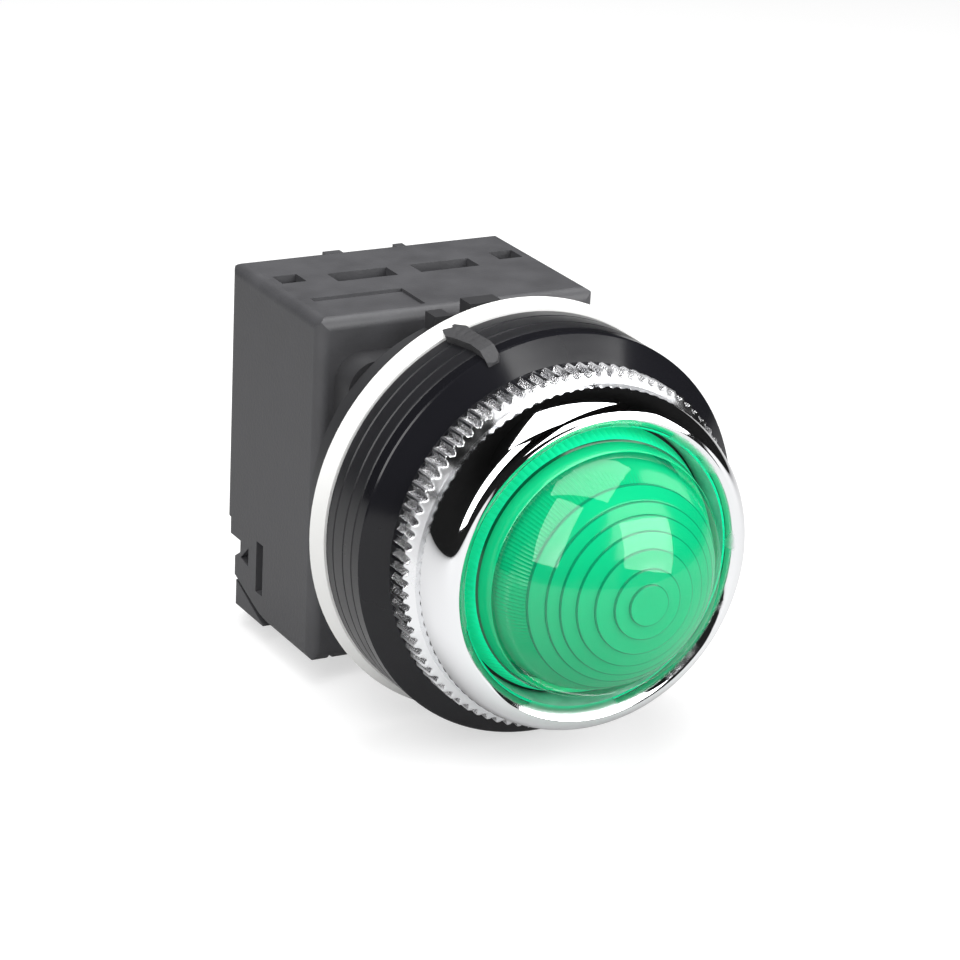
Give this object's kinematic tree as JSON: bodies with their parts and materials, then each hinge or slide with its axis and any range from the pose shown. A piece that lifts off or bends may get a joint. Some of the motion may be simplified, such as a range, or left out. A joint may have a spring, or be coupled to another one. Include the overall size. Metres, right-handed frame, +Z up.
{
  "type": "panel pilot light",
  "caption": "Panel pilot light with a green dome lens, a knurled chrome ring nut, black packing rings, a white gasket and a black terminal box behind.",
  "frame": {"origin": "on the lamp's axis, in the plane of the shoulder that meets the back of the panel", "axes": "-Y out of the panel towards the viewer, +Z up, +X to the viewer's right"},
  "size_m": [0.043, 0.062, 0.043],
  "materials": {
    "lens_green": "clear emerald green, polished",
    "chrome": "bright plated",
    "ring_black": "semi-gloss",
    "box_black": "fine matt",
    "gasket_white": "matt",
    "seal_rubber": "pale, matt",
    "key_grey": "rough moulded",
    "zinc_steel": "zinc plated",
    "contact_brass": "plain",
    "nickel": "nickel plated",
    "reflector_white": "smooth",
    "holder_phenolic": "moulded",
    "lamp_black_glass": "glossy",
    "cap_clear": "clear",
    "board_green": "lacquered",
    "chip_yellow": "smooth",
    "resistor_tan": "lacquered",
    "package_black": "moulded"
  },
  "bodies": {
    "frame": {"white_gasket": "gasket_white", "packing_ring_a": "ring_black", "packing_ring_b": "ring_black", "packing_ring_c": "ring_black", "operator_body": "box_black", "housing": "box_black", "rear_cover": "box_black", "assembly_screws": "zinc_steel", "reflector": "reflector_white", "socket_shell": "contact_brass", "socket_holder": "holder_phenolic", "contact_spring": "zinc_steel", "live_strip": "contact_brass", "neutral_strip": "contact_brass", "driver_board": "board_green", "dropper_resistors": "resistor_tan", "rectifier": "package_black", "terminal_plate_a": "contact_brass", "terminal_plate_b": "contact_brass"},
    "washer": {"front_washer": "ring_black", "locating_key": "key_grey"},
    "nut": {"ring_nut": "chrome"},
    "seal": {"lens_seal": "seal_rubber"},
    "lens": {"lens": "lens_green"},
    "plunger": {"contact_plunger": "contact_brass"},
    "lamp": {"lamp_base": "nickel", "lamp_insulator": "lamp_black_glass", "lamp_tip": "nickel", "lamp_board": "board_green", "lamp_chips": "chip_yellow", "lamp_cap": "cap_clear"},
    "clamp_a": {"clamp_plate_a": "zinc_steel"},
    "screw_a": {"terminal_screw_a": "zinc_steel"},
    "clamp_b": {"clamp_plate_b": "zinc_steel"},
    "screw_b": {"terminal_screw_b": "zinc_steel"}
  },
  "joints": [
    {"name": "nut_travel", "type": "slide", "parent": "frame", "child": "washer", "axis": [0, -1, 0], "range_m": [0, 0.00376]},
    {"name": "nut_turn", "type": "hinge", "parent": "washer", "child": "nut", "pos_m": [0, 0, 0], "axis": [0, -1, 0], "range_deg": [0, 900]},
    {"name": "lens_travel", "type": "slide", "parent": "frame", "child": "seal", "axis": [0, -1, 0], "range_m": [0, 0.00601]},
    {"name": "lens_turn", "type": "hinge", "parent": "seal", "child": "lens", "pos_m": [0, 0, 0], "axis": [0, -1, 0], "range_deg": [0, 1080]},
    {"name": "lamp_push", "type": "slide", "parent": "frame", "child": "plunger", "axis": [0, 1, 0], "range_m": [0, 0.0012], "stiffness_N_per_m": 600, "springref_m": -0.001, "deforming": ["contact_spring"]},
    {"name": "lamp_turn", "type": "hinge", "parent": "plunger", "child": "lamp", "pos_m": [0, 0, 0], "axis": [0, -1, 0], "range_deg": [0, 20]},
    {"name": "clamp_a_travel", "type": "slide", "parent": "frame", "child": "clamp_a", "axis": [0, 1, 0], "range_m": [0, 0.0024]},
    {"name": "screw_a_turn", "type": "hinge", "parent": "clamp_a", "child": "screw_a", "pos_m": [-0.009, 0, 0.00245], "axis": [0, 1, 0], "range_deg": [0, 1440.4]},
    {"name": "clamp_b_travel", "type": "slide", "parent": "frame", "child": "clamp_b", "axis": [0, 1, 0], "range_m": [0, 0.0024]},
    {"name": "screw_b_turn", "type": "hinge", "parent": "clamp_b", "child": "screw_b", "pos_m": [0.009, 0, 0.00245], "axis": [0, 1, 0], "range_deg": [0, 1440.4]}
  ],
  "couplings": [
    {"joint": "nut_travel", "follows": "nut_turn", "m_per_rad": 0.00023873},
    {"joint": "lens_travel", "follows": "lens_turn", "m_per_rad": 0.00031831},
    {"joint": "screw_a_turn", "follows": "clamp_a_travel", "rad_per_m": 10472},
    {"joint": "screw_b_turn", "follows": "clamp_b_travel", "rad_per_m": 10472}
  ]
}
